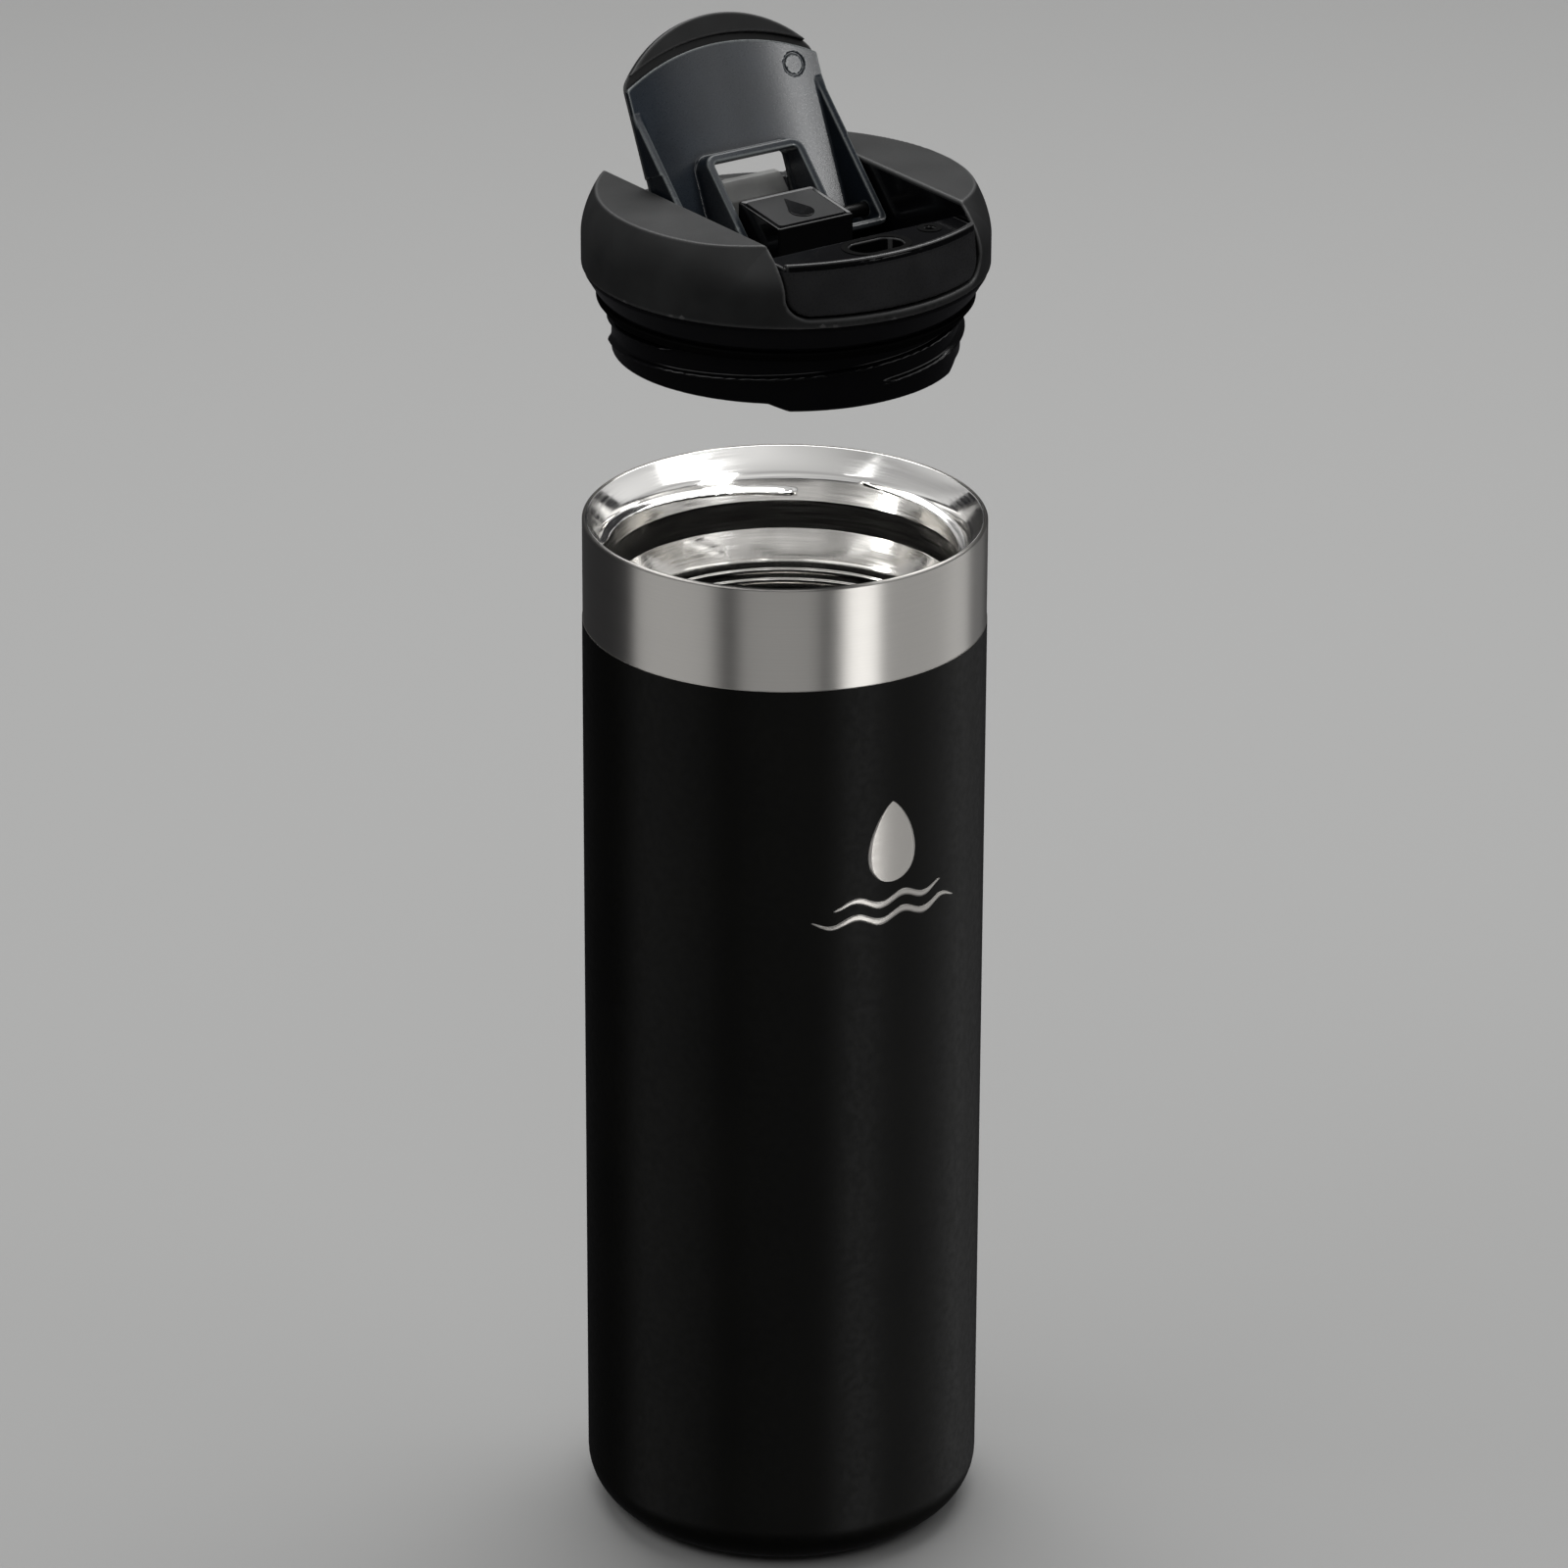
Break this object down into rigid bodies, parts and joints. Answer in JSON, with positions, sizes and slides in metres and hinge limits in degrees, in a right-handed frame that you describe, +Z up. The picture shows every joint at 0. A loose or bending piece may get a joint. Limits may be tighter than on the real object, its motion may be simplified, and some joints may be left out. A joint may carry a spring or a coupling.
{
  "type": "insulated travel mug",
  "caption": "Vacuum-insulated steel travel mug with a screw-in drinking lid, a hinged flip cover and a spring-loaded cover lock.",
  "frame": {"origin": "centre of the base, on the plane that the mug rests on", "axes": "+Z up along the mug's axis, -Y towards the drinking side of the lid, +X to the drinker's left when the mug is held to drink from"},
  "size_m": [0.073, 0.073, 0.2833],
  "materials": {
    "coated_steel": "near-black satin powder coat on stainless steel, bare and brushed above the step below the rim",
    "plain_steel": "spun stainless steel",
    "polished_steel": "mirror-polished stainless steel",
    "seal_glass": "fused bead",
    "copper_foil": "thin bright copper foil",
    "getter_alloy": "sintered grey pill",
    "silicone": "soft black silicone",
    "gloss_lid": "glossy moulded black plastic",
    "soft_touch": "matte soft-touch charcoal",
    "badge": "glossy plate with a light grey drop mark",
    "small_steel": "turned stainless steel",
    "slider_grey": "light grey satin plastic"
  },
  "bodies": {
    "mug": {"outer_shell": "coated_steel", "outer_base": "plain_steel", "base_cover": "plain_steel", "port_seal": "seal_glass", "inner_liner": "polished_steel", "heat_foil": "copper_foil", "getter": "getter_alloy"},
    "gasket": {"lid_gasket": "silicone"},
    "lid": {"lid_core": "gloss_lid", "lid_bottom": "gloss_lid", "lid_collar": "soft_touch", "drink_seal": "silicone", "hinge_block": "gloss_lid", "block_badge": "badge", "block_screws": "small_steel", "hinge_pins": "small_steel", "lock_spring": "small_steel"},
    "cover": {"flip_cover": "gloss_lid", "cover_skin": "soft_touch"},
    "lock": {"lock_slider": "slider_grey"}
  },
  "joints": [
    {"name": "lid_lift", "type": "slide", "parent": "mug", "child": "gasket", "axis": [0, 0, 1], "range_m": [-0.0445, 0.0001]},
    {"name": "lid_screw", "type": "hinge", "parent": "gasket", "child": "lid", "pos_m": [0, 0, 0.2426], "axis": [0, 0, 1], "range_deg": [-1440, 0]},
    {"name": "cover_hinge", "type": "hinge", "parent": "lid", "child": "cover", "pos_m": [0, 0.0023, 0.2494], "axis": [-1, 0, 0], "range_deg": [-115, 0]},
    {"name": "lock_slide", "type": "slide", "parent": "lid", "child": "lock", "axis": [0, 1, 0], "range_m": [0, 0.002], "stiffness_N_per_m": 300, "springref_m": -0.002, "deforming": ["lock_spring"]}
  ],
  "couplings": [
    {"joint": "lid_lift", "follows": "lid_screw", "m_per_rad": 0.0017666}
  ]
}
